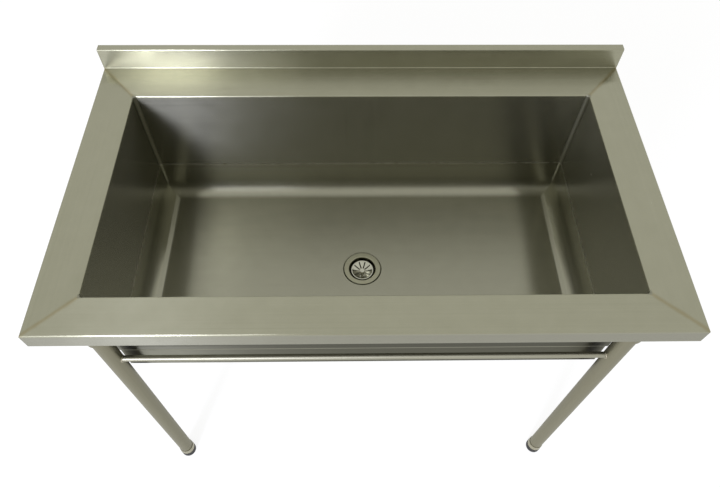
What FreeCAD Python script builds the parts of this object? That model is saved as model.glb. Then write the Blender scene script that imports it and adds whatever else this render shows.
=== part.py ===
# A free-standing utility laundry sink: one welded stainless bowl in a folded rim with a low
# splash at the back, on four round legs with a rail between each pair.
# Millimetres. The origin is on the floor under the middle of the sink, +Z is up, and the
# front of the sink faces -Y.
import FreeCAD, Part
import math
import os

# Overall size
overall_width = 1200.0
overall_depth = 700.0
rim_height = 860.0          # floor to the top of the rim

# Folded rim and splash
front_rim = 77.0
side_rim = 85.0
back_rim = 94.0
lip_depth = 42.0            # the rim's edges are turned down this far
hem_width = 12.0            # and back under by this
splash_height = 52.0        # above the rim
splash_return = 19.0        # the splash's top, front to back
sheet = 1.5
inside_bend = 1.5

# Bowl
bowl_depth = 330.0
pan_depth = 100.0           # floor to the weld between the pan and the folded walls
cove_radius = 36.0
corner_radius = 7.0

# Stiffening channels under the front and back rims
channel_depth = 25.0
channel_flange = 12.0
channel_side_gap = 5.0      # between the channel's flanges and the lip and bowl
channel_end_gap = 38.0      # from the outside of the side lip

# Legs and rails
tube_radius = 17.5          # the legs are 35 mm tube
tube_wall = 1.5
rail_radius = 6.35          # and the rails 12.7 mm
leg_inset_side = 96.0       # outside of the rim to the leg's axis
rail_drop = 188.0           # top of the rim to the rails' axis
weld_gap = 0.1              # left for the weld where a rail meets a leg

# Leg sockets
socket_plate = 3.0
socket_plate_length = 64.0  # along the rim
socket_plate_margin = 2.0   # the plate is this much wider than the channel on each side
socket_length = 58.0
socket_wall = 3.5
socket_clearance = 0.2
set_screw_radius = 3.0
set_screw_length = 8.0
set_screw_height = 20.0     # above the socket's mouth

# Levelling feet
pad_height = 22.0
pad_step = 0.4              # the pad stands out this far from the sleeve
pad_bevel = 2.0
sleeve_height = 20.0
sleeve_wall = 1.0
sleeve_flare = 0.6          # the sleeve's base is this much larger in radius than its top
sleeve_clearance = 0.3
sleeve_floor = 2.0
stud_radius = 6.0
stud_clearance = 0.06
stud_height = 60.0          # top of the stud above the floor
stud_head_radius = 11.0
stud_head = 5.0
stud_head_lift = 4.0        # rubber left under the stud's head
insert_collar = 2.0
insert_length = 28.0
insert_clearance = 0.1
foot_gap = 0.3              # between the sleeve's floor and the insert when the foot is right in

# Drain
throat_radius = 32.0
throat_roll = 3.0           # rounding where the flange turns down into the cup
flange_width = 13.0
flange = 1.5
gasket = 1.0
seat_margin = 1.5           # the pressed seat in the floor is this much wider than the flange
cup_depth = 42.0
cup_taper = 3.5             # the cup's floor is this much smaller in radius than its throat
cup_wall = 1.6
cup_bore = 15.0             # radius of the hole in the cup's floor
collar_wall = 2.5           # between the throat and the thread outside it
thread_length = 22.0
thread_clearance = 0.1
hole_clearance = 0.5
under_washer = 3.0
under_washer_width = 13.0
friction_ring = 1.0
friction_ring_width = 11.0
nut_height = 11.0
nut_wall = 7.5
nut_lug = 4.5
nut_lug_width = 12.0
nut_lugs = 6

# Waste pipe
tail_radius = 19.05         # 38.1 mm pipe
tail_wall = 1.2
tail_length = 95.0
tail_flange = 1.5
tail_flange_width = 2.85
tail_flare = 6.0            # height of the flare under the flange
tail_washer = 2.0
outlet_wall = 2.5
outlet_length = 18.0
slip_nut_base = 3.5         # the nut's metal under the pipe's flange
slip_nut_height = 17.5
slip_nut_wall = 6.0
slip_nut_flats = 8

# Strainer basket
basket_clearance = 1.5      # in radius, to the cup's floor
basket_wall = 1.0
basket_taper = 5.5          # the basket's floor is this much smaller in radius than its top
basket_drop = 7.0           # the crown's rim lies this far under the bowl's floor
crown_dip = 6.0             # and its middle this much lower
crown_lip = 2.0             # flat rim round the dish
crown_slots = 10
crown_slot_width = 3.0
crown_hub = 8.0             # radius of the plain middle of the crown
crown_margin = 3.0          # plain metal outside the slots
knob_radius = 7.0
knob_height = 3.0
knob_gap = 0.6              # between the middle of the crown and the knob
knob_bevel = 1.2
stem_radius = 3.0
basket_slots = 10
basket_slot_width = 3.5
basket_slot_margin = 4.0    # plain metal above and below the cup's slots
seal_height = 4.0
seal_bevel = 1.0
seal_gap = 0.3              # between the seal and the cup's floor

same_place = 0.01           # measures this close are the same

# Places worked out from the sizes
left, right = -overall_width / 2, overall_width / 2
front, back = -overall_depth / 2, overall_depth / 2
bowl_left, bowl_right = left + side_rim, right - side_rim
bowl_front = front + front_rim
splash_face = back - splash_return
bowl_back = splash_face - back_rim
floor_z = rim_height - bowl_depth
seam_z = floor_z + pan_depth
lip_z = rim_height - lip_depth
splash_z = rim_height + splash_height
rim_underside = rim_height - sheet
channel_width = front_rim - 2 * sheet - 2 * channel_side_gap
channel_web = channel_width - 2 * channel_flange
channel_underside = rim_underside - channel_depth - sheet
leg_x = right - leg_inset_side
front_leg_y = front + front_rim / 2
back_leg_y = splash_face - back_rim / 2
rail_z = rim_height - rail_drop
leg_places = {
    "front_left": (-leg_x, front_leg_y),
    "front_right": (leg_x, front_leg_y),
    "back_left": (-leg_x, back_leg_y),
    "back_right": (leg_x, back_leg_y),
}
socket_plate_width = channel_web + 2 * socket_plate_margin
socket_plate_z = channel_underside - socket_plate
socket_mouth_z = socket_plate_z - socket_length
set_screw_z = socket_mouth_z + set_screw_height
sleeve_bore = tube_radius + sleeve_clearance
sleeve_top_radius = sleeve_bore + sleeve_wall
sleeve_base_radius = sleeve_top_radius + sleeve_flare
sleeve_floor_z = pad_height + sleeve_floor
pad_radius = sleeve_base_radius + pad_step
leg_end_z = sleeve_floor_z + foot_gap + insert_collar   # the leg stands on the insert's collar

drain_y = (bowl_front + bowl_back) / 2
flange_radius = throat_radius + flange_width
thread_radius = throat_radius + collar_wall
drain_hole_radius = thread_radius + hole_clearance
nut_radius = thread_radius + nut_wall
seat_radius = flange_radius + seat_margin
seat_z = floor_z - flange - gasket
cup_base_radius = throat_radius - cup_taper
cup_floor_z = floor_z - cup_depth
cup_underside = cup_floor_z - cup_wall
under_washer_top = seat_z - sheet
friction_ring_top = under_washer_top - under_washer
lock_nut_top = friction_ring_top - friction_ring

tail_flange_radius = tail_radius + tail_flange_width
outlet_radius = tail_flange_radius + thread_clearance
outlet_z = cup_underside - outlet_length
tail_top = outlet_z - tail_washer
nut_ledge = tail_top - tail_flange                      # the slip nut pulls up on the flange here

basket_radius = cup_base_radius - basket_clearance
crown_z = floor_z - basket_drop                         # top of the crown at its rim
dish_radius = basket_radius - crown_lip
dish_ball = (dish_radius ** 2 + crown_dip ** 2) / (2 * crown_dip)
seal_radius = basket_radius - basket_taper
seal_z = cup_floor_z + seal_gap
seal_top = seal_z + seal_height


def at(x, y, z):
    return FreeCAD.Vector(x, y, z)


def near(one, other):
    return abs(one - other) < same_place


along_x, along_y, up = at(1, 0, 0), at(0, 1, 0), at(0, 0, 1)


def save(name, shape):
    """Write one sub-part as parts/NAME.step."""
    shape = shape.removeSplitter()
    if not shape.isValid():
        raise ValueError(name + " isn't a valid solid")
    shape.exportStep("parts/" + name + ".step")
    print(name, len(shape.Solids), round(shape.Volume))


def block(low, high):
    size = high - low
    return Part.makeBox(size.x, size.y, size.z, low)


def cylinder(radius, low, high, x=0.0, y=0.0):
    return Part.makeCylinder(radius, high - low, at(x, y, low))


def ring(outer, inner, low, high, x=0.0, y=0.0):
    return cylinder(outer, low, high, x, y).cut(cylinder(inner, low - 1, high + 1, x, y))


def prism(outline, low, high):
    """Upright solid over an outline of (x, y) points."""
    points = [at(x, y, low) for x, y in outline]
    return Part.Face(Part.makePolygon(points + points[:1])).extrude(up * (high - low))


def rounded_line(points, radii):
    """Edges of the line through the points, its corners rounded."""
    edges = []
    start = points[0]
    for before, corner, after, radius in zip(points, points[1:], points[2:], radii):
        way_in = (corner - before).normalize()
        way_out = (after - corner).normalize()
        half_turn = way_in.getAngle(way_out) / 2
        trim = radius * math.tan(half_turn)
        arc_start = corner - way_in * trim
        arc_end = corner + way_out * trim
        inwards = (way_out - way_in).normalize()
        arc_middle = corner + inwards * (radius / math.cos(half_turn) - radius)
        edges.append(Part.LineSegment(start, arc_start).toShape())
        edges.append(Part.Arc(arc_start, arc_middle, arc_end).toShape())
        start = arc_end
    edges.append(Part.LineSegment(start, points[-1]).toShape())
    return edges


def folded_sheet(points, viewer, length_from, length_to):
    """A sheet bent along the points, with its metal on their right as the viewer sees them.

    It runs along the viewer's axis, from length_from to length_to.
    """
    ways = [(after - before).normalize() for before, after in zip(points, points[1:])]
    sides = [way.cross(viewer) for way in ways]
    beside = [points[0] + sides[0] * sheet]
    for corner, side, next_side in zip(points[1:], sides, sides[1:]):
        beside.append(corner + (side + next_side) * (sheet / (1 + side.dot(next_side))))
    beside.append(points[-1] + sides[-1] * sheet)
    left_turns = [way.cross(following).dot(viewer) > 0 for way, following in zip(ways, ways[1:])]
    outside_bend = inside_bend + sheet
    radii = [inside_bend if left_turn else outside_bend for left_turn in left_turns]
    beside_radii = [outside_bend if left_turn else inside_bend for left_turn in left_turns]
    edges = rounded_line(points, radii) + rounded_line(beside, beside_radii)
    edges.append(Part.LineSegment(points[0], beside[0]).toShape())
    edges.append(Part.LineSegment(points[-1], beside[-1]).toShape())
    section = Part.Face(Part.Wire(Part.__sortEdges__(edges)))
    axis = at(abs(viewer.x), abs(viewer.y), abs(viewer.z))
    section.translate(axis * length_from)
    return section.extrude(axis * (length_to - length_from))


def turned(outline, x=0.0, y=0.0):
    """Solid turned about an upright axis from (radius, z) points."""
    points = [at(radius, 0, z) for radius, z in outline]
    face = Part.Face(Part.makePolygon(points + points[:1]))
    solid = face.revolve(at(0, 0, 0), up, 360)
    solid.translate(at(x, y, 0))
    return solid


def around(shape, count, x=0.0, y=0.0):
    """Copies of a shape spaced evenly around an upright axis."""
    copies = []
    for number in range(count):
        copy = shape.copy()
        copy.rotate(at(x, y, 0), up, 360.0 * number / count)
        copies.append(copy)
    return copies


# The folded rim. Each side is one sheet that makes the hem, lip, rim and bowl wall, and its
# ends are mitred from the rim's outer corner to the bowl's corner.

def front_panel():
    points = [at(0, front + hem_width, lip_z), at(0, front, lip_z), at(0, front, rim_height),
              at(0, bowl_front, rim_height), at(0, bowl_front, seam_z)]
    outline = [(left, front), (right, front), (bowl_right, bowl_front), (bowl_left, bowl_front)]
    return folded_sheet(points, along_x, left, right).common(prism(outline, 0, splash_z))


def right_panel():
    points = [at(bowl_right, 0, seam_z), at(bowl_right, 0, rim_height), at(right, 0, rim_height),
              at(right, 0, lip_z), at(right - hem_width, 0, lip_z)]
    outline = [(right, front), (right, splash_face), (bowl_right, bowl_back), (bowl_right, bowl_front)]
    return folded_sheet(points, -along_y, front, splash_face).common(prism(outline, 0, splash_z))


def back_panel():
    points = [at(0, bowl_back, seam_z), at(0, bowl_back, rim_height), at(0, splash_face, rim_height),
              at(0, splash_face, splash_z), at(0, back, splash_z), at(0, back, lip_z),
              at(0, back - hem_width, lip_z)]
    cap = right - sheet
    outline = [(bowl_left, bowl_back), (bowl_right, bowl_back), (right, splash_face),
               (cap, splash_face), (cap, back), (-cap, back), (-cap, splash_face), (left, splash_face)]
    return folded_sheet(points, along_x, left, right).common(prism(outline, 0, splash_z))


def splash_end_cap():
    """Plate that closes the right-hand end of the splash and carries on the lip."""
    plate = block(at(right - sheet, splash_face, lip_z), at(right, back, splash_z))
    top_edges = [edge for edge in plate.Edges
                 if near(edge.BoundBox.ZMin, splash_z) and near(edge.BoundBox.XLength, sheet)]
    return plate.makeFillet(inside_bend + sheet, top_edges)


# The pan. Its floor is coved up into the walls on all four sides.

def pan_form(extra):
    """The pan's inside, grown outwards by extra."""
    low = at(bowl_left - extra, bowl_front - extra, floor_z - extra)
    high = at(bowl_right + extra, bowl_back + extra, seam_z + extra)
    coved = block(low, high)
    bottom = [edge for edge in coved.Edges if near(edge.BoundBox.ZMax, low.z)]
    coved = coved.makeFillet(cove_radius + extra, bottom)
    cornered = block(low, high)
    upright = [edge for edge in cornered.Edges if near(edge.BoundBox.ZLength, high.z - low.z)]
    return coved.common(cornered.makeFillet(corner_radius + extra, upright))


def bowl_pan():
    """Coved pan with a pressed seat for the drain and the hole under it."""
    seat_side = floor_z - seat_z
    shell = pan_form(sheet).fuse(turned([(0, seat_z - sheet), (seat_radius, seat_z - sheet),
                                         (seat_radius + seat_side + sheet, floor_z - sheet),
                                         (0, floor_z - sheet)], 0, drain_y))
    hollow = pan_form(0).fuse(turned([(0, seat_z), (seat_radius - seat_side / 2, seat_z),
                                      (seat_radius + seat_side / 2, floor_z),
                                      (0, floor_z)], 0, drain_y))
    hole = cylinder(drain_hole_radius, seat_z - sheet, floor_z, 0, drain_y)
    above_seam = block(at(left, front, seam_z), at(right, back, splash_z))
    return shell.cut(hollow).cut(hole).cut(above_seam)


# Channels, sockets, legs and rails

def channel(y):
    """Hat-shaped stiffener welded under the rim, which the leg sockets hang from."""
    web = channel_web / 2
    edge = web + channel_flange
    low = rim_underside - channel_depth
    points = [at(0, y - edge, rim_underside), at(0, y - web, rim_underside), at(0, y - web, low),
              at(0, y + web, low), at(0, y + web, rim_underside), at(0, y + edge, rim_underside)]
    return folded_sheet(points, along_x, left + channel_end_gap, right - channel_end_gap)


def inward(x):
    """Way from a leg to the middle of the sink."""
    return along_x * (-1 if x > 0 else 1)


def leg_socket(x, y):
    """Plate and sleeve that a leg pushes up into, with a set screw on its inner side."""
    across = at(socket_plate_length / 2, socket_plate_width / 2, 0)
    plate = block(at(x, y, socket_plate_z) - across, at(x, y, channel_underside) + across)
    bore = tube_radius + socket_clearance
    sleeve = ring(bore + socket_wall, bore, socket_mouth_z, socket_plate_z, x, y)
    screw_hole = Part.makeCylinder(set_screw_radius, socket_plate_length, at(x, y, set_screw_z), inward(x))
    return plate.fuse(sleeve).cut(screw_hole)


def set_screw(x, y):
    """Grub screw that presses on the leg."""
    tip = at(x, y, set_screw_z) + inward(x) * (tube_radius + socket_clearance / 2)
    return Part.makeCylinder(set_screw_radius, set_screw_length, tip, inward(x))


def leg(x, y):
    return ring(tube_radius, tube_radius - tube_wall, leg_end_z, socket_plate_z - weld_gap, x, y)


def rail(y):
    """Tube between two legs, its ends coped to fit round them."""
    length = 2 * leg_x
    start = at(-leg_x, y, rail_z)
    tube = Part.makeCylinder(rail_radius, length, start, along_x)
    tube = tube.cut(Part.makeCylinder(rail_radius - tube_wall, length, start, along_x))
    for x in (-leg_x, leg_x):
        tube = tube.cut(cylinder(tube_radius + weld_gap, rail_z - 2 * rail_radius,
                                 rail_z + 2 * rail_radius, x, y))
    return tube


# Levelling feet: the stud screws into an insert in the leg's end, and the sleeve hides it.

def foot_insert(x, y):
    """Threaded plug in the leg's end, with a collar that the leg stands on."""
    collar_z = leg_end_z - insert_collar
    top = leg_end_z + insert_length
    plug = tube_radius - tube_wall - insert_clearance
    bore = stud_radius + stud_clearance
    return turned([(bore, collar_z), (tube_radius, collar_z), (tube_radius, leg_end_z),
                   (plug, leg_end_z), (plug, top), (bore, top)], x, y)


def foot_pad(x, y):
    """Rubber base, moulded round the stud's head."""
    head_top = stud_head_lift + stud_head
    return turned([(0, 0), (pad_radius - pad_bevel, 0), (pad_radius, pad_bevel), (pad_radius, pad_height),
                   (stud_radius, pad_height), (stud_radius, head_top), (stud_head_radius, head_top),
                   (stud_head_radius, stud_head_lift), (0, stud_head_lift)], x, y)


def foot_stud(x, y):
    """Levelling screw with a round head moulded into the pad."""
    head_top = stud_head_lift + stud_head
    return turned([(0, stud_head_lift), (stud_head_radius, stud_head_lift), (stud_head_radius, head_top),
                   (stud_radius, head_top), (stud_radius, stud_height), (0, stud_height)], x, y)


def foot_sleeve(x, y):
    """Slightly flared cup that slides down over the leg's end."""
    top = pad_height + sleeve_height
    return turned([(stud_radius, pad_height), (sleeve_base_radius, pad_height),
                   (sleeve_top_radius, top), (sleeve_bore, top),
                   (sleeve_bore, sleeve_floor_z), (stud_radius, sleeve_floor_z)], x, y)


# Drain

def drain_body():
    """Flange and cup in one piece, threaded outside for the lock nut and outlet."""
    flange_z = floor_z - flange
    collar_z = seat_z - thread_length
    outside = cup_base_radius + cup_wall
    outlet_bore = outlet_radius - outlet_wall
    solid = turned([(outlet_bore, outlet_z), (outlet_radius, outlet_z), (outlet_radius, cup_underside),
                    (outside, cup_underside), (thread_radius - cup_wall, collar_z),
                    (thread_radius, collar_z), (thread_radius, flange_z), (flange_radius, flange_z),
                    (flange_radius, floor_z - flange / 2), (flange_radius - flange / 2, floor_z),
                    (throat_radius, floor_z), (cup_base_radius, cup_floor_z), (cup_bore, cup_floor_z),
                    (outlet_bore, cup_underside)], 0, drain_y)
    mouth = [edge for edge in solid.Edges
             if near(edge.BoundBox.ZMin, floor_z) and near(edge.BoundBox.ZMax, floor_z)
             and near(edge.BoundBox.XMax, throat_radius)]
    return solid.makeFillet(throat_roll, mouth)


def drain_washer(radius, top, thickness):
    """Flat ring round the cup's threaded collar."""
    return ring(radius, drain_hole_radius, top - thickness, top, 0, drain_y)


def drain_lock_nut():
    """Ring nut with lugs for a spanner."""
    low = lock_nut_top - nut_height
    side = nut_lug_width / 2
    lug = block(at(0, drain_y - side, low), at(nut_radius + nut_lug, drain_y + side, lock_nut_top))
    nut = cylinder(nut_radius, low, lock_nut_top, 0, drain_y).fuse(around(lug, nut_lugs, 0, drain_y))
    return nut.cut(cylinder(thread_radius + thread_clearance, low, lock_nut_top, 0, drain_y))


def tail_washer_ring():
    return ring(tail_flange_radius, tail_radius - tail_wall, tail_top, outlet_z, 0, drain_y)


def tailpiece():
    """Waste pipe with a flared top that the slip nut pulls up to the cup."""
    bore = tail_radius - tail_wall
    return turned([(bore, tail_top - tail_length), (tail_radius, tail_top - tail_length),
                   (tail_radius, nut_ledge - tail_flare), (tail_flange_radius, nut_ledge),
                   (tail_flange_radius, tail_top), (bore, tail_top)], 0, drain_y)


def slip_nut():
    """Many-sided nut over the outlet's thread, with a sloping seat under the tailpiece's flare."""
    low = nut_ledge - slip_nut_base
    top = low + slip_nut_height
    bore = outlet_radius + thread_clearance
    corner = (bore + slip_nut_wall) / math.cos(math.pi / slip_nut_flats)
    turns = [2 * math.pi * number / slip_nut_flats for number in range(slip_nut_flats)]
    corners = [(corner * math.cos(turn), drain_y + corner * math.sin(turn)) for turn in turns]
    mouth = bore - tail_flange_width * slip_nut_base / tail_flare
    hollow = turned([(0, low), (mouth, low), (bore, nut_ledge), (bore, top), (0, top)], 0, drain_y)
    return prism(corners, low, top).cut(hollow)


# Strainer basket, which lifts out of the drain

def strainer_crown():
    """Shallow dish with narrow slots that leave petals between them."""
    low = crown_z - crown_dip - basket_wall
    centre = at(0, drain_y, crown_z - crown_dip + dish_ball)
    dish = Part.makeSphere(dish_ball + basket_wall, centre).cut(Part.makeSphere(dish_ball, centre))
    dish = dish.common(ring(dish_radius, stem_radius, low, crown_z, 0, drain_y))
    dish = dish.fuse(ring(basket_radius, dish_radius, crown_z - basket_wall, crown_z, 0, drain_y))
    side = crown_slot_width / 2
    slot = block(at(crown_hub, drain_y - side, low),
                 at(basket_radius - crown_margin, drain_y + side, crown_z))
    return dish.cut(around(slot, crown_slots, 0, drain_y))


def strainer_cup():
    """Slotted cup under the crown."""
    top = crown_z - basket_wall
    shoulder = seal_top + basket_radius - seal_radius
    bore = basket_radius - basket_wall
    cup = turned([(stem_radius, seal_top), (seal_radius, seal_top), (basket_radius, shoulder),
                  (basket_radius, top), (bore, top), (bore, shoulder + basket_wall / 2),
                  (seal_radius - basket_wall / 2, seal_top + basket_wall),
                  (stem_radius, seal_top + basket_wall)], 0, drain_y)
    side = basket_slot_width / 2
    slot = block(at(0, drain_y - side, shoulder + basket_slot_margin),
                 at(basket_radius, drain_y + side, top - basket_slot_margin))
    return cup.cut(around(slot, basket_slots, 0, drain_y))


def strainer_knob():
    """Mushroom knob on a stem that runs down through the crown and cup to the seal."""
    low = seal_z + seal_height / 2
    under = crown_z - crown_dip + knob_gap
    top = under + knob_height
    return turned([(0, low), (stem_radius, low), (stem_radius, under), (knob_radius, under),
                   (knob_radius, top - knob_bevel), (knob_radius - knob_bevel, top), (0, top)], 0, drain_y)


def strainer_seal():
    """Rubber stopper screwed to the stem's end."""
    narrow = seal_radius - seal_bevel
    widest_z = seal_z + seal_height / 3
    middle_z = seal_z + seal_height / 2
    return turned([(0, seal_z), (narrow, seal_z), (seal_radius, widest_z), (narrow, seal_top),
                   (stem_radius, seal_top), (stem_radius, middle_z), (0, middle_z)], 0, drain_y)


def mirrored(shape):
    return shape.mirror(at(0, 0, 0), along_x)


def main():
    os.makedirs("parts", exist_ok=True)
    save("front_panel", front_panel())
    save("right_panel", right_panel())
    save("left_panel", mirrored(right_panel()))
    save("back_panel", back_panel())
    save("splash_end_cap_right", splash_end_cap())
    save("splash_end_cap_left", mirrored(splash_end_cap()))
    save("bowl_pan", bowl_pan())
    save("front_channel", channel(front_leg_y))
    save("back_channel", channel(back_leg_y))
    save("front_rail", rail(front_leg_y))
    save("back_rail", rail(back_leg_y))
    for place, (x, y) in leg_places.items():
        save("leg_socket_" + place, leg_socket(x, y))
        save("leg_" + place, leg(x, y))
        save("foot_insert_" + place, foot_insert(x, y))
        save("foot_stud_" + place, foot_stud(x, y))
        save("foot_sleeve_" + place, foot_sleeve(x, y))
        save("foot_pad_" + place, foot_pad(x, y))
    save("socket_set_screws", Part.makeCompound([set_screw(x, y) for x, y in leg_places.values()]))
    save("drain_body", drain_body())
    save("drain_gasket", drain_washer(flange_radius - flange, seat_z + gasket, gasket))
    save("drain_under_washer",
         drain_washer(drain_hole_radius + under_washer_width, under_washer_top, under_washer))
    save("drain_friction_ring",
         drain_washer(drain_hole_radius + friction_ring_width, friction_ring_top, friction_ring))
    save("drain_lock_nut", drain_lock_nut())
    save("tail_washer", tail_washer_ring())
    save("tailpiece", tailpiece())
    save("slip_nut", slip_nut())
    save("strainer_crown", strainer_crown())
    save("strainer_cup", strainer_cup())
    save("strainer_knob", strainer_knob())
    save("strainer_seal", strainer_seal())


main()
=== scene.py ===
# Looks of the laundry sink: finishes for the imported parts, the welds that show, a pale studio
# and the photograph's camera. Metres, +Z up, the front faces -Y.
import bpy
import math
from mathutils import Matrix, Vector


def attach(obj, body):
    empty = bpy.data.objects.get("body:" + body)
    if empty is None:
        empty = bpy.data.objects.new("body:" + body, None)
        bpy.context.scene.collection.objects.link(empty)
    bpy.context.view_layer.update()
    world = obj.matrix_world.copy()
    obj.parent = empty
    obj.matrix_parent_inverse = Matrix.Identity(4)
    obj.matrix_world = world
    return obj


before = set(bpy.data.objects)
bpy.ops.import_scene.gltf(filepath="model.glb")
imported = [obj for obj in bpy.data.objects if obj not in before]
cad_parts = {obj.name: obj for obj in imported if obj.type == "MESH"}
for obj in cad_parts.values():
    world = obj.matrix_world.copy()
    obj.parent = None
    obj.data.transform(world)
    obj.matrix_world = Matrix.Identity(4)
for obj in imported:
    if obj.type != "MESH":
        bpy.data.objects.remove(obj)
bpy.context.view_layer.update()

scene = bpy.context.scene
scene.view_settings.view_transform = "Standard"

mm = 0.001


# helpers for materials

def linear(hexColour):
    # sRGB hex to the linear colour that shaders take
    parts = [int(hexColour[place:place + 2], 16) / 255 for place in (1, 3, 5)]
    return [part / 12.92 if part <= 0.04045 else ((part + 0.055) / 1.055) ** 2.4
            for part in parts] + [1.0]


def addNode(tree, kind, settings=None, links=None):
    # one node with its settings, and links from other nodes' sockets into its own
    node = tree.nodes.new(kind)
    for name, value in (settings or {}).items():
        if isinstance(name, int) or name in node.inputs:
            node.inputs[name].default_value = value
        else:
            setattr(node, name, value)
    for name, source in (links or {}).items():
        tree.links.new(source, node.inputs[name])
    return node


def newMaterial(name):
    material = bpy.data.materials.new(name)
    material.use_nodes = True
    material.node_tree.nodes.clear()
    return material, material.node_tree


def giveFinish(material, *nodes):
    for node in nodes:
        for slot in bpy.data.objects[node].material_slots:
            slot.material = material


# camera, matched to the photograph's rim, splash, legs and drain

cameraSettings = {
    "place": (-0.0263, -0.8014, 1.8293),
    "turn": (33.420, -0.489, -0.698),     # degrees
    "lens": 30.59,                        # mm on a 36 mm wide sensor
}

cameraData = bpy.data.cameras.new("photo_camera")
cameraData.lens = cameraSettings["lens"]
cameraData.sensor_width = 36
camera = bpy.data.objects.new("photo_camera", cameraData)
camera.location = cameraSettings["place"]
camera.rotation_euler = [math.radians(angle) for angle in cameraSettings["turn"]]
scene.collection.objects.link(camera)
scene.camera = camera
print("camera placed")


# finishes

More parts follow.
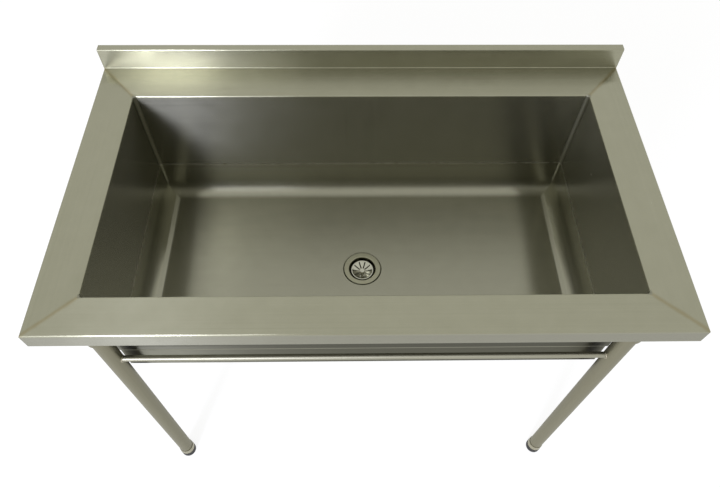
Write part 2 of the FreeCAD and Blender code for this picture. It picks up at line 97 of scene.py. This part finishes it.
def brushedSteel(name, brush, kit):
    # No. 4 stainless sheet, brushed one way on a belt: reflections stay sharp along the brush
    # lines and are drawn out wide across them, which gives the soft streaked bands
    material, tree = newMaterial(name)
    place = addNode(tree, "ShaderNodeTexCoord")
    spot = addNode(tree, "ShaderNodeSeparateXYZ", links={0: place.outputs["Object"]})
    facing = addNode(tree, "ShaderNodeSeparateXYZ", links={0: place.outputs["Normal"]})
    slant = addNode(tree, "ShaderNodeMath", {"operation": "ABSOLUTE"}, {0: facing.outputs["X"]})
    # the brush runs along X, or along Y where the face is turned sideways by more than this
    turned = addNode(tree, "ShaderNodeMath", {"operation": "GREATER_THAN", 1: kit["turnsAt"][brush]},
                     {0: slant.outputs[0]})
    tangent = addNode(tree, "ShaderNodeMix", {"data_type": "VECTOR", 4: (1, 0, 0), 5: (0, 1, 0)},
                      {0: turned.outputs[0]})
    across, along = 1 / kit["streak"], 1 / kit["length"]
    scale = addNode(tree, "ShaderNodeMix", {"data_type": "VECTOR", 4: (along, across, across),
                                            5: (across, along, across)}, {0: turned.outputs[0]})
    drawn = addNode(tree, "ShaderNodeVectorMath", {"operation": "MULTIPLY"},
                    {0: place.outputs["Object"], 1: scale.outputs[1]})
    streaks = addNode(tree, "ShaderNodeTexNoise", {"Scale": 1.0, "Detail": 2.0},
                      {"Vector": drawn.outputs[0]})
    clouds = addNode(tree, "ShaderNodeTexNoise", {"Scale": 1 / kit["cloud"], "Detail": 3.0},
                     {"Vector": place.outputs["Object"]})
    mixed = addNode(tree, "ShaderNodeMix", {"data_type": "FLOAT", 0: 0.5},
                    {2: streaks.outputs[0], 3: clouds.outputs[0]})
    colour = addNode(tree, "ShaderNodeMix", {"data_type": "RGBA", 6: linear(kit["dark"]),
                                             7: linear(kit["light"])}, {0: mixed.outputs[0]})
    rough = addNode(tree, "ShaderNodeMapRange", {"To Min": kit["roughness"][0],
                                                 "To Max": kit["roughness"][1]}, {"Value": mixed.outputs[0]})
    # painted shade: down in the bowl the tone is multiplied a little darker and cooler
    bowlShadeMask = addNode(tree, "ShaderNodeMapRange", {"From Min": kit["bowlShadeTop"],
                                                  "From Max": kit["bowlShadeTop"] - kit["bowlShadeFade"]},
                     {"Value": spot.outputs["Z"]})
    shaded = addNode(tree, "ShaderNodeMix", {"data_type": "RGBA", "blend_type": "MULTIPLY",
                                             7: linear(kit["bowl"][brush])},
                     {0: bowlShadeMask.outputs[0], 6: colour.outputs[2]})
    # the outside of the bowl, below the lip, keeps the mill's dull grey skin, and the tone there is
    # multiplied darker as painted shade under the lip
    fromMiddle = addNode(tree, "ShaderNodeVectorMath", {"operation": "SUBTRACT", 1: kit["bowlMiddle"]},
                         {0: place.outputs["Object"]})
    outward = addNode(tree, "ShaderNodeVectorMath", {"operation": "DOT_PRODUCT"},
                      {0: fromMiddle.outputs[0], 1: place.outputs["Normal"]})
    facesOut = addNode(tree, "ShaderNodeMath", {"operation": "GREATER_THAN", 1: 0.0},
                       {0: outward.outputs["Value"]})
    belowLip = addNode(tree, "ShaderNodeMath", {"operation": "LESS_THAN", 1: kit["lipFoot"]},
                       {0: spot.outputs["Z"]})
    millSkinAndShadeMask = addNode(tree, "ShaderNodeMath", {"operation": "MULTIPLY"},
                        {0: facesOut.outputs[0], 1: belowLip.outputs[0]})
    skinnedAndShaded = addNode(tree, "ShaderNodeMix", {"data_type": "RGBA", "blend_type": "MULTIPLY",
                                              7: linear(kit["millSkinAndShade"])},
                      {0: millSkinAndShadeMask.outputs[0], 6: shaded.outputs[2]})
    duller = addNode(tree, "ShaderNodeMath", {"operation": "MULTIPLY_ADD", 1: kit["millRough"]},
                     {0: millSkinAndShadeMask.outputs[0], 2: rough.outputs[0]})
    # a heat tint wanders along each mitre weld on the rim
    folded = addNode(tree, "ShaderNodeMath", {"operation": "ABSOLUTE"}, {0: spot.outputs["X"]})
    quarter = addNode(tree, "ShaderNodeCombineXYZ", {"Z": 1.0},
                      {"X": folded.outputs[0], "Y": spot.outputs["Y"]})
    behind = addNode(tree, "ShaderNodeMath", {"operation": "GREATER_THAN", 1: 0.0}, {0: spot.outputs["Y"]})
    mitre = addNode(tree, "ShaderNodeMix", {"data_type": "VECTOR", 4: kit["frontMitre"],
                                            5: kit["backMitre"]}, {0: behind.outputs[0]})
    offLine = addNode(tree, "ShaderNodeVectorMath", {"operation": "DOT_PRODUCT"},
                      {0: quarter.outputs[0], 1: mitre.outputs[1]})
    beside = addNode(tree, "ShaderNodeMath", {"operation": "ABSOLUTE"}, {0: offLine.outputs["Value"]})
    wander = addNode(tree, "ShaderNodeMath", {"operation": "MULTIPLY_ADD", 1: kit["wander"],
                                              2: -kit["wander"] / 2}, {0: clouds.outputs[0]})
    reach = addNode(tree, "ShaderNodeMath", {"operation": "ADD"},
                    {0: beside.outputs[0], 1: wander.outputs[0]})
    onRim = addNode(tree, "ShaderNodeMath", {"operation": "COMPARE", 1: kit["rimTop"], 2: kit["rimSlack"]},
                    {0: spot.outputs["Z"]})
    stainLine = addNode(tree, "ShaderNodeMapRange",
                        {"From Min": kit["stainEdge"], "From Max": kit["stainCore"]},
                        {"Value": reach.outputs[0]})
    stain = addNode(tree, "ShaderNodeMath", {"operation": "MULTIPLY"},
                    {0: stainLine.outputs[0], 1: onRim.outputs[0]})
    stained = addNode(tree, "ShaderNodeMix", {"data_type": "RGBA", "blend_type": "MULTIPLY",
                                              7: linear(kit["stain"])},
                      {0: stain.outputs[0], 6: skinnedAndShaded.outputs[2]})
    lines = addNode(tree, "ShaderNodeBump", {"Strength": 0.1, "Distance": kit["depth"]},
                    {"Height": streaks.outputs[0]})
    # a quarter turn lays the reflections' blur across the tangent, which follows the brush
    steel = addNode(tree, "ShaderNodeBsdfPrincipled",
                    {"Metallic": 1.0, "Anisotropic": 1.0, "Anisotropic Rotation": 0.25},
                    {"Base Color": stained.outputs[2], "Roughness": duller.outputs[0],
                     "Tangent": tangent.outputs[1], "Normal": lines.outputs[0]})
    addNode(tree, "ShaderNodeOutputMaterial", links={"Surface": steel.outputs[0]})
    return material


sheetSteel = {
    "dark": "#908F7A", "light": "#9F9E89",
    "bowl": {"x": "#F2F2FA", "y": "#E8E8F0", "pan": "#FAFAFF"},   # painted shade: multiplies the tone darker and cooler down in the bowl
    "bowlShadeTop": 0.856, "bowlShadeFade": 0.003,        # metres above the floor where the painted shade begins, and over which it comes in
    "rimTop": 0.8594, "rimSlack": 0.0018,       # the rim's face, without the splash's foot
    "roughness": (0.23, 0.29),
    "length": 0.8,              # metres that a brush line runs
    "streak": 0.0024,           # metres between lines; the real ones are too fine to show
    "depth": 0.00001,           # of the lines, in metres
    "cloud": 0.035,             # size of the faint clouds in the finish
    "bowlMiddle": (0, -0.018, 0.75), "lipFoot": 0.8175,
    "millSkinAndShade": "#A2A29E", "millRough": 0.10,   # multiplies the tone, as mill skin and painted shade, and is added to the roughness
    "turnsAt": {"x": 9.0, "y": -1.0, "pan": 0.4},   # never, always, and on the pan's end walls
    "wander": 0.006,            # metres across which the heat tint strays
    "frontMitre": (0.6713, 0.7411, -0.1434),   # unit normal of each mitre line, and its place
    "backMitre": (0.7419, -0.6709, -0.2231),
    "stain": "#F2EADC",         # heat tint left along the weld
    "stainCore": 0.001, "stainEdge": 0.006,     # metres from the line where it is full, and gone
}


def workedFinish(name, kit):
    # tone, gloss and surface follow one pattern; grain is its size in metres along X, Y and Z
    material, tree = newMaterial(name)
    place = addNode(tree, "ShaderNodeTexCoord")
    spread = addNode(tree, "ShaderNodeVectorMath",
                     {"operation": "MULTIPLY", 1: [1 / size for size in kit["grain"]]},
                     {0: place.outputs["Object"]})
    grain = addNode(tree, "ShaderNodeTexNoise", {"Scale": 1.0, "Detail": 4.0},
                    {"Vector": spread.outputs[0]})
    colour = addNode(tree, "ShaderNodeMix", {"data_type": "RGBA", 6: linear(kit["dark"]),
                                             7: linear(kit["light"])}, {0: grain.outputs[0]})
    rough = addNode(tree, "ShaderNodeMapRange", {"To Min": kit["roughness"][0],
                                                 "To Max": kit["roughness"][1]}, {"Value": grain.outputs[0]})
    bump = addNode(tree, "ShaderNodeBump", {"Strength": 0.3, "Distance": kit["depth"]},
                   {"Height": grain.outputs[0]})
    surface = addNode(tree, "ShaderNodeBsdfPrincipled", {"Metallic": kit["metallic"]},
                      {"Base Color": colour.outputs[2], "Roughness": rough.outputs[0],
                       "Normal": bump.outputs[0]})
    addNode(tree, "ShaderNodeOutputMaterial", links={"Surface": surface.outputs[0]})
    return material


finishes = {
    # stainless tube scuffed dull with a pad, drawn along its length: satin, slightly olive
    "scuffed_stainless_leg": {"dark": "#7D7A66", "light": "#8D8A74", "metallic": 1.0,
                              "roughness": (0.46, 0.56), "grain": (0.002, 0.002, 0.12), "depth": 0.00002},
    # the thinner tube of the rails, scuffed along X: the same satin, a little brighter
    "scuffed_stainless_rail": {"dark": "#8E8C7A", "light": "#9E9C8A", "metallic": 1.0,
                               "roughness": (0.40, 0.50), "grain": (0.12, 0.002, 0.002), "depth": 0.00002},
    # weld ground flush with a disc: duller than the sheet, with no direction
    "ground_weld": {"dark": "#7A7968", "light": "#8C8B79", "metallic": 1.0, "roughness": (0.42, 0.58),
                    "grain": (0.003, 0.003, 0.003), "depth": 0.00004},
    # pan weld planished and polished back: a thin brighter line
    "polished_weld": {"dark": "#A8A6A0", "light": "#C0BEB8", "metallic": 1.0, "roughness": (0.22, 0.34),
                      "grain": (0.02, 0.02, 0.001), "depth": 0.00003},
    # weld left as laid: rippled, with a straw heat tint and warm glints
    "tig_weld_bead": {"dark": "#8F8A78", "light": "#A9A38D", "metallic": 1.0, "roughness": (0.28, 0.42),
                      "grain": (0.002, 0.002, 0.002), "depth": 0.00003},
    # stainless pressing in the satin of the bowl's floor: the drain's flange hardly stands out from it
    "satin_pressing": {"dark": "#86856E", "light": "#969580", "metallic": 1.0, "roughness": (0.24, 0.36),
                       "grain": (0.004, 0.004, 0.004), "depth": 0.00002},
    # buffed stainless basket: brighter and sharper, with a faint haze
    "buffed_stainless": {"dark": "#A09F8E", "light": "#B6B5A5", "metallic": 1.0, "roughness": (0.13, 0.22),
                         "grain": (0.004, 0.004, 0.004), "depth": 0.00001},
    # 2B mill finish sheet: dull even grey, never brushed
    "mill_finish_sheet": {"dark": "#6C6C66", "light": "#7A7A74", "metallic": 1.0, "roughness": (0.38, 0.48),
                          "grain": (0.02, 0.004, 0.004), "depth": 0.00002},
    # moulded rubber: deep grey with a fine matt grain
    "moulded_rubber": {"dark": "#121212", "light": "#1E1E1D", "metallic": 0.0, "roughness": (0.55, 0.72),
                       "grain": (0.0008, 0.0008, 0.0008), "depth": 0.00005},
    # moulded polypropylene: off-white, waxy, faintly uneven
    "moulded_polypropylene": {"dark": "#D2D1CB", "light": "#DEDDD8", "metallic": 0.0,
                              "roughness": (0.34, 0.46), "grain": (0.003, 0.003, 0.003), "depth": 0.00003},
    # bright zinc plate: bluish grey, slightly mottled
    "zinc_plate": {"dark": "#A9ACAF", "light": "#C2C4C6", "metallic": 1.0, "roughness": (0.22, 0.36),
                   "grain": (0.002, 0.002, 0.002), "depth": 0.00002},
    # satin sleeve spun on a lathe: fine rings round it
    "spun_satin_sleeve": {"dark": "#9A9782", "light": "#B0AC96", "metallic": 1.0, "roughness": (0.38, 0.50),
                          "grain": (0.05, 0.05, 0.0008), "depth": 0.00003},
}
made = {name: workedFinish(name, kit) for name, kit in finishes.items()}
brushedAlong = brushedSteel("brushed_stainless_along", "x", sheetSteel)
brushedDeep = brushedSteel("brushed_stainless_deep", "y", sheetSteel)
brushedPan = brushedSteel("brushed_stainless_pan", "pan", sheetSteel)

corners = ("front_left", "front_right", "back_left", "back_right")


def atCorners(stem):
    return [stem + corner for corner in corners]


giveFinish(brushedAlong, "front_panel", "back_panel")
giveFinish(made["mill_finish_sheet"], "front_channel", "back_channel")
giveFinish(brushedDeep, "left_panel", "right_panel", "splash_end_cap_left", "splash_end_cap_right")
giveFinish(brushedPan, "bowl_pan")
giveFinish(made["scuffed_stainless_leg"], *atCorners("leg_"), *atCorners("leg_socket_"))
giveFinish(made["scuffed_stainless_rail"], "front_rail", "back_rail")
giveFinish(made["satin_pressing"], "drain_body", "tailpiece")
giveFinish(made["buffed_stainless"], "strainer_crown", "strainer_cup", "strainer_knob")
giveFinish(made["moulded_rubber"], "strainer_seal", "drain_gasket", "drain_under_washer", "tail_washer",
           *atCorners("foot_pad_"))
giveFinish(made["moulded_polypropylene"], "drain_friction_ring", "drain_lock_nut", "slip_nut")
giveFinish(made["zinc_plate"], "socket_set_screws", *atCorners("foot_insert_"), *atCorners("foot_stud_"))
giveFinish(made["spun_satin_sleeve"], *atCorners("foot_sleeve_"))
print("finishes given")


# helpers for new pieces

def deselectAll():
    if bpy.context.mode != "OBJECT":
        bpy.ops.object.mode_set(mode="OBJECT")
    bpy.ops.object.select_all(action="DESELECT")


def only(piece):
    deselectAll()
    piece.select_set(True)
    bpy.context.view_layer.objects.active = piece
    return piece


def newPiece(name):
    # the primitive just added, with its place put into its mesh
    piece = only(bpy.context.active_object)
    piece.name = name
    bpy.ops.object.transform_apply(location=True, rotation=True, scale=True)
    return piece


def chooseEdges(piece, wanted):
    # edit mode with the edges selected for which wanted(one end, other end) holds
    only(piece)
    bpy.ops.object.mode_set(mode="EDIT")
    bpy.ops.mesh.select_mode(type="EDGE")
    bpy.ops.mesh.select_all(action="DESELECT")
    bpy.ops.object.mode_set(mode="OBJECT")
    mesh = piece.data
    for edge in mesh.edges:
        edge.select = wanted(*[mesh.vertices[index].co for index in edge.vertices])
    bpy.ops.object.mode_set(mode="EDIT")


def chooseFaces(piece, wanted):
    only(piece)
    bpy.ops.object.mode_set(mode="EDIT")
    bpy.ops.mesh.select_mode(type="FACE")
    bpy.ops.mesh.select_all(action="DESELECT")
    bpy.ops.object.mode_set(mode="OBJECT")
    for face in piece.data.polygons:
        face.select = wanted(face)
    bpy.ops.object.mode_set(mode="EDIT")


def applied(piece, kind, **settings):
    only(piece)
    modifier = piece.modifiers.new(kind.lower(), kind)
    for name, value in settings.items():
        setattr(modifier, name, value)
    bpy.ops.object.modifier_apply(modifier=modifier.name)
    return piece


def finishPiece(piece, material, body="sink", angle=30):
    only(piece)
    piece.data.materials.clear()
    piece.data.materials.append(material)
    bpy.ops.object.shade_smooth_by_angle(angle=math.radians(angle))
    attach(piece, body)
    return piece


def copied(piece, name, change):
    twin = piece.copy()
    twin.data = piece.data.copy()
    twin.name = name
    scene.collection.objects.link(twin)
    twin.data.transform(change)
    return twin


# bowl corners: each upright weld is ground to the pan's rounding and flared over the rim's bend

bowl = {"left": -515 * mm, "right": 515 * mm, "front": -273 * mm, "back": 237 * mm,
        "seam": 630 * mm, "rim": 860 * mm, "sheet": 1.5 * mm, "corner": 7 * mm}

bowlCornerWeld = {
    "bend": 3 * mm,        # the rim's outer bend
    "behind": 0.9 * mm,    # runs this far into the sheet, out of sight
    "lid": 1.2 * mm,       # thickness over the rim's corner
    "below": 0.02 * mm,    # under the rim's face
    "overlap": 0.1 * mm,   # of the upright and its lid, so that they join
    "margin": 0.2 * mm,    # of the lid past the flare
    "clear": 1 * mm,       # of the cutter past both ends
    "steps": 6,
}


def bowlCornerBlock():
    kit, corner = bowlCornerWeld, bowl["corner"]
    centre = Vector((bowl["right"] - corner, bowl["back"] - corner, 0))
    blocks = []
    underLid, top = bowl["rim"] - kit["lid"], bowl["rim"] - kit["below"]
    for low, high, reach in ((bowl["seam"], underLid + kit["overlap"], corner + kit["behind"]),
                             (underLid, top, corner + kit["bend"] + kit["margin"])):
        deselectAll()
        middle = centre + Vector((reach / 2, reach / 2, (low + high) / 2))
        bpy.ops.mesh.primitive_cube_add(size=1, location=middle,
                                        scale=(reach, reach, high - low))
        blocks.append(newPiece("bowl_corner_block"))
    deselectAll()
    bpy.ops.mesh.primitive_circle_add(vertices=96, radius=corner, fill_type="NGON",
                                      location=(centre.x, centre.y, bowl["seam"] - kit["clear"]))
    cutter = newPiece("bowl_corner_cutter")
    bpy.ops.object.mode_set(mode="EDIT")
    bpy.ops.mesh.select_all(action="SELECT")
    height, radius = bowl["seam"] - kit["clear"], corner
    heights = [bowl["rim"] - kit["bend"]]
    radii = [corner]
    for step in range(1, kit["steps"] + 1):
        turn = step / kit["steps"] * math.pi / 2
        heights.append(bowl["rim"] - kit["bend"] * (1 - math.sin(turn)))
        radii.append(corner + kit["bend"] * (1 - math.cos(turn)))
    heights.append(bowl["rim"] + kit["clear"])
    radii.append(radii[-1])
    for newHeight, newRadius in zip(heights, radii):
        bpy.ops.mesh.extrude_region_move(TRANSFORM_OT_translate={"value": (0, 0, newHeight - height)})
        grow = newRadius / radius
        bpy.ops.transform.resize(value=(grow, grow, 1), center_override=(centre.x, centre.y, newHeight))
        height, radius = newHeight, newRadius
    bpy.ops.mesh.select_all(action="SELECT")
    bpy.ops.mesh.normals_make_consistent(inside=False)
    bpy.ops.object.mode_set(mode="OBJECT")
    applied(blocks[0], "BOOLEAN", operation="UNION", object=blocks[1], solver="EXACT")
    applied(blocks[0], "BOOLEAN", operation="DIFFERENCE", object=cutter, solver="EXACT")
    bpy.data.objects.remove(blocks[1])
    bpy.data.objects.remove(cutter)
    return blocks[0]


cornerBlock = bowlCornerBlock()
for name, x, y, turn in (("back_right", "right", "back", 0), ("back_left", "left", "back", 90),
                         ("front_left", "left", "front", 180), ("front_right", "right", "front", 270)):
    move = Matrix.Translation((bowl[x], bowl[y], 0)) @ Matrix.Rotation(math.radians(turn), 4, "Z")
    home = Matrix.Translation((-bowl["right"], -bowl["back"], 0))
    weld = copied(cornerBlock, "bowl_corner_weld_" + name, move @ home)
    finishPiece(weld, made["ground_weld"])
bpy.data.objects.remove(cornerBlock)
print("bowl corners welded")


# pan weld: the line round the bowl where the folded walls meet the pan, polished back inside
# the bowl and ground flush outside

panWeld = {
    "width": 3 * mm,
    "proud": 0.22 * mm,
    "thickness": 0.5 * mm,   # all but the proud part lies in the sheet
    "rows": 4,
}


def isUpright(one, other):
    return abs(one.z - other.z) > 1 * mm


def panWeldLine(name, grow, side, finish):
    # side 1 stands out of the wall's inner face into the bowl, -1 out of its outer face
    left, right = bowl["left"] - grow, bowl["right"] + grow
    front, back = bowl["front"] - grow, bowl["back"] + grow
    deselectAll()
    bpy.ops.mesh.primitive_cube_add(size=1, location=((left + right) / 2, (front + back) / 2, bowl["seam"]),
                                    scale=(right - left, back - front, panWeld["width"]))
    band = newPiece(name)
    chooseFaces(band, lambda face: abs(face.normal.z) > 0.5)
    bpy.ops.mesh.delete(type="ONLY_FACE")
    chooseEdges(band, isUpright)
    bpy.ops.mesh.bevel(offset=bowl["corner"] + grow, segments=8, affect="EDGES")
    chooseEdges(band, isUpright)
    bpy.ops.mesh.subdivide(number_cuts=panWeld["rows"] - 1)
    bpy.ops.object.mode_set(mode="OBJECT")
    core = bowl["corner"] + grow
    for vertex in band.data.vertices:
        place = vertex.co
        nearest = Vector((min(max(place.x, left + core), right - core),
                          min(max(place.y, front + core), back - core), place.z))
        across = (place.z - bowl["seam"]) / (panWeld["width"] / 2)
        crown = panWeld["proud"] * (1 - across * across)
        vertex.co = place - side * crown * (place - nearest).normalized()
    applied(band, "SOLIDIFY", thickness=panWeld["thickness"], offset=-1 if side < 0 else 1)
    chooseFaces(band, lambda face: True)
    bpy.ops.mesh.normals_make_consistent(inside=False)
    bpy.ops.object.mode_set(mode="OBJECT")
    return finishPiece(band, finish, angle=50)


panWeldLine("pan_weld_inside", 0, 1, made["polished_weld"])
panWeldLine("pan_weld_outside", bowl["sheet"], -1, made["ground_weld"])
print("pan weld laid")


# saddle welds where the rails meet the legs

railWeld = {
    "legX": 504 * mm, "legRadius": 17.5 * mm,
    "railZ": 672 * mm, "railRadius": 6.35 * mm,
    "bead": 1.5 * mm,
    "ripples": 26, "ripple": 0.10,     # share of the bead's thickness
}
railY = {"front": -311.5 * mm, "back": 284 * mm}


def railWeldBead():
    # at the right hand end of a rail on y = 0
    kit = railWeld
    deselectAll()
    bpy.ops.mesh.primitive_torus_add(major_segments=104, minor_segments=10, rotation=(0, math.pi / 2, 0),
                                     major_radius=kit["railRadius"] + 0.5 * kit["bead"],
                                     minor_radius=kit["bead"],
                                     location=(0, 0, kit["railZ"]))
    bead = newPiece("rail_weld")
    for vertex in bead.data.vertices:
        x, y, z = vertex.co.x, vertex.co.y, vertex.co.z - kit["railZ"]
        radius = math.hypot(y, z)
        middle = kit["railRadius"] + 0.5 * kit["bead"]
        swell = 1 + kit["ripple"] * math.sin(kit["ripples"] * math.atan2(z, y))
        reach = middle + (radius - middle) * swell
        y, z = y / radius * reach, z / radius * reach
        surface = kit["legX"] - math.sqrt(kit["legRadius"] ** 2 - y * y)
        vertex.co = (surface + x * swell, y, z + kit["railZ"])
    return bead


bead = railWeldBead()
for row, y in railY.items():
    for end, turn in (("right", 0), ("left", 180)):
        weld = copied(bead, "rail_weld_" + row + "_" + end,
                      Matrix.Translation((0, y, 0)) @ Matrix.Rotation(math.radians(turn), 4, "Z"))
        finishPiece(weld, made["tig_weld_bead"], angle=60)
bpy.data.objects.remove(bead)
print("rails welded")


# studio: white paper underfoot, a white room and soft lamps; the camera, gloss and glass
# all see the same white

studio = {
    "floorSize": 16,                     # metres
    "paper": "#E6E6E4",                  # as it throws light back on the sink
    "shadow": 0.25, "glow": 0.86,        # of the paper as it is seen: what takes a shadow, and what doesn't
    "roomColour": (1.0, 1.0, 0.95), "roomLight": 0.5,   # on matt surfaces
}


def seenRay(tree):
    # 1 where the camera, a gloss or a glass looks, 0 where a matt surface gathers light
    ray = addNode(tree, "ShaderNodeLightPath")
    first = addNode(tree, "ShaderNodeMath", {"operation": "MAXIMUM"},
                    {0: ray.outputs["Is Camera Ray"], 1: ray.outputs["Is Glossy Ray"]})
    return addNode(tree, "ShaderNodeMath", {"operation": "MAXIMUM"},
                   {0: first.outputs[0], 1: ray.outputs["Is Transmission Ray"]})


deselectAll()
bpy.ops.mesh.primitive_plane_add(size=studio["floorSize"], location=(0, 0, 0))
floor = bpy.context.active_object
floor.name = "studio_floor"
whitePaper, tree = newMaterial("white_paper")   # matt seamless paper, lit white
lit = addNode(tree, "ShaderNodeBsdfDiffuse", {"Color": linear(studio["paper"])})
shadow = addNode(tree, "ShaderNodeBsdfDiffuse", {"Color": (studio["shadow"],) * 3 + (1,)})
glow = addNode(tree, "ShaderNodeEmission", {"Strength": studio["glow"]})
white = addNode(tree, "ShaderNodeAddShader", links={0: shadow.outputs[0], 1: glow.outputs[0]})
paper = addNode(tree, "ShaderNodeMixShader",
                links={0: seenRay(tree).outputs[0], 1: lit.outputs[0], 2: white.outputs[0]})
addNode(tree, "ShaderNodeOutputMaterial", links={"Surface": paper.outputs[0]})
floor.data.materials.append(whitePaper)


def softbox(name, place, size, level, colour, aim=(0, 0, 0.8)):
    data = bpy.data.lights.new(name, "AREA")
    data.shape = "RECTANGLE"
    data.size, data.size_y = size
    data.color = colour
    data.energy = level * math.pi * size[0] * size[1]
    lamp = bpy.data.objects.new(name, data)
    lamp.location = place
    lamp.rotation_euler = (Vector(aim) - Vector(place)).to_track_quat("-Z", "Y").to_euler()
    scene.collection.objects.link(lamp)
    return lamp


# place, size in metres, brightness of the lamp's face (white paper is 1), colour
lamps = {
    "key_lamp": ((-1.54, -3.46, 2.12), (0.60, 0.80), 62.0, (0.78, 0.80, 1.0)),
    "key_softbox": ((-1.47, -3.46, 2.17), (1.7, 2.7), 3.6, (0.80, 0.82, 1.0)),
}
for name, (place, size, level, colour) in lamps.items():
    softbox(name, place, size, level, colour)

world = bpy.data.worlds.new("studio")
scene.world = world
world.use_nodes = True
tree = world.node_tree
tree.nodes.clear()
room = addNode(tree, "ShaderNodeBackground",
               {"Color": studio["roomColour"] + (1,), "Strength": studio["roomLight"]})
backdrop = addNode(tree, "ShaderNodeBackground", {"Color": (1, 1, 1, 1), "Strength": 1.0})
sky = addNode(tree, "ShaderNodeMixShader",
              links={0: seenRay(tree).outputs[0], 1: room.outputs[0], 2: backdrop.outputs[0]})
addNode(tree, "ShaderNodeOutputWorld", links={"Surface": sky.outputs[0]})
print("studio set")
